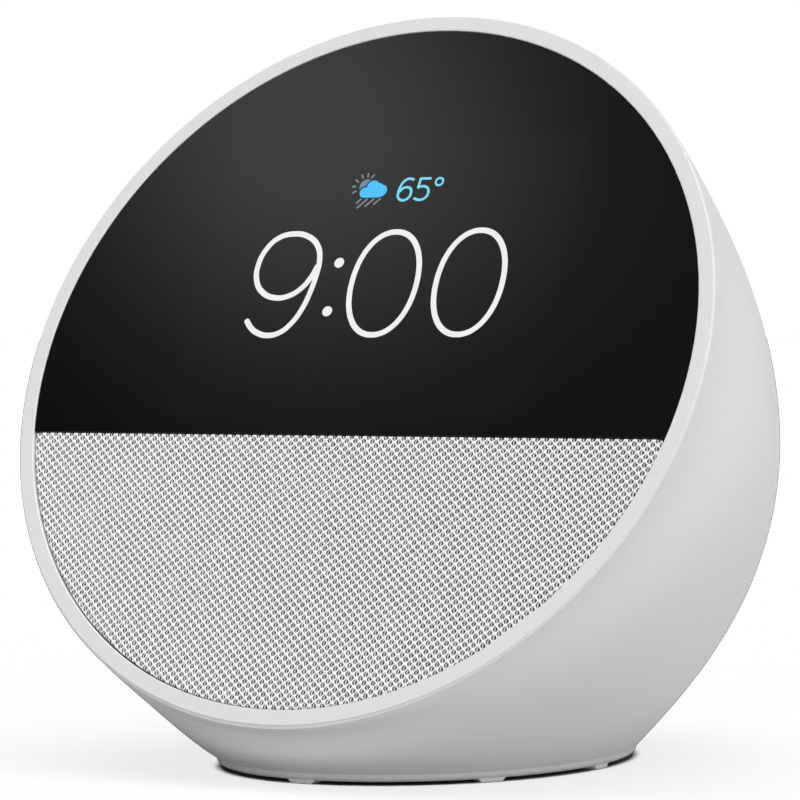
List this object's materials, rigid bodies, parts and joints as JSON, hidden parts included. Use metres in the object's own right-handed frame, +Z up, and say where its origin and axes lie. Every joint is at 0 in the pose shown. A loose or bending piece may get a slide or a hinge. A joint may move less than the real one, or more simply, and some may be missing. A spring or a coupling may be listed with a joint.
{
  "type": "smart display",
  "caption": "Free-standing smart display: round leaned-back face with a black glass display above a knitted speaker grille, on a smooth domed shell with an oval foot.",
  "frame": {"origin": "on the table, under the middle of the whole body", "axes": "+Z up, the face looks towards -Y and leans back, +X to the right of someone facing it from the front"},
  "size_m": [0.113, 0.1028, 0.1107],
  "materials": {
    "shell_plastic": "fine matt moulded plastic, off-white",
    "bezel_plastic": "satin moulded plastic, off-white",
    "key_plastic": "fine matt moulded plastic, off-white",
    "black_glass": "polished glass, printed black on the back",
    "knit": "pale grey knitted fabric",
    "foot_rubber": "matt pale rubber",
    "base_plastic": "matt moulded plastic",
    "black_plastic": "matt black moulded plastic",
    "grille_plastic": "matt black moulded plastic",
    "jack_plastic": "matt black moulded plastic",
    "contact_metal": "bright contact metal",
    "adhesive": "black adhesive foam",
    "panel_glass": "dark display panel",
    "light_guide": "white diffusing plastic",
    "bracket_steel": "pressed sheet steel",
    "flex_film": "amber film",
    "foam": "black closed foam",
    "surround_rubber": "black rubber",
    "cone_paper": "coated black paper",
    "coil_copper": "copper winding",
    "spider_cloth": "treated cloth",
    "magnet_ferrite": "sintered ferrite",
    "pole_steel": "plated steel",
    "circuit_board": "green coated laminate",
    "chip_resin": "black moulded resin",
    "can_metal": "tin-plated sheet",
    "gap_pad": "soft grey-blue pad",
    "sink_aluminium": "plain aluminium",
    "switch_metal": "stamped metal and black plastic",
    "lead_sheath": "black insulation",
    "screw_steel": "plated steel"
  },
  "bodies": {
    "housing": {"rear_shell": "shell_plastic", "base_plate": "base_plastic", "foot_ring": "foot_rubber", "power_jack": "jack_plastic", "jack_pin": "contact_metal", "jack_board": "circuit_board", "power_lead": "lead_sheath", "tact_switches": "switch_metal", "button_board": "circuit_board", "microphones": "can_metal", "mic_boots": "foam", "base_screws": "screw_steel", "button_board_screws": "screw_steel", "front_bezel": "bezel_plastic", "cover_glass": "black_glass", "glass_adhesive": "adhesive", "front_frame": "black_plastic", "grille_frame": "grille_plastic", "grille_fabric": "knit", "display_panel": "panel_glass", "backlight_unit": "light_guide", "display_bracket": "bracket_steel", "display_flex": "flex_film", "speaker_gasket": "foam", "speaker_basket": "bracket_steel", "speaker_surround": "surround_rubber", "speaker_spider": "spider_cloth", "speaker_top_plate": "pole_steel", "speaker_magnet": "magnet_ferrite", "speaker_yoke": "pole_steel", "main_board": "circuit_board", "board_chips": "chip_resin", "soc_shield": "can_metal", "thermal_pad": "gap_pad", "heat_sink": "sink_aluminium", "antenna_board": "circuit_board", "speaker_lead": "lead_sheath", "button_flex": "flex_film", "speaker_screws": "screw_steel", "bracket_screws": "screw_steel", "board_screws": "screw_steel", "frame_screws": "screw_steel"},
    "volume_down": {"volume_down_button": "key_plastic", "volume_down_plunger": "black_plastic"},
    "mic_off": {"mic_off_button": "key_plastic", "mic_off_plunger": "black_plastic"},
    "volume_up": {"volume_up_button": "key_plastic", "volume_up_plunger": "black_plastic"},
    "diaphragm": {"speaker_cone": "cone_paper", "dust_cap": "cone_paper", "voice_coil": "coil_copper"}
  },
  "joints": [
    {"name": "volume_down_press", "type": "slide", "parent": "housing", "child": "volume_down", "axis": [0, -0.6743, -0.7385], "range_m": [0, 0.0006], "stiffness_N_per_m": 300, "springref_m": -0.0005},
    {"name": "mic_off_press", "type": "slide", "parent": "housing", "child": "mic_off", "axis": [0, -0.6743, -0.7385], "range_m": [0, 0.0006], "stiffness_N_per_m": 300, "springref_m": -0.0005},
    {"name": "volume_up_press", "type": "slide", "parent": "housing", "child": "volume_up", "axis": [0, -0.6743, -0.7385], "range_m": [0, 0.0006], "stiffness_N_per_m": 300, "springref_m": -0.0005},
    {"name": "cone_travel", "type": "slide", "parent": "housing", "child": "diaphragm", "axis": [0, -0.9001, 0.4357], "range_m": [-0.0005, 0.0005], "stiffness_N_per_m": 500, "deforming": ["speaker_surround", "speaker_spider"]}
  ]
}
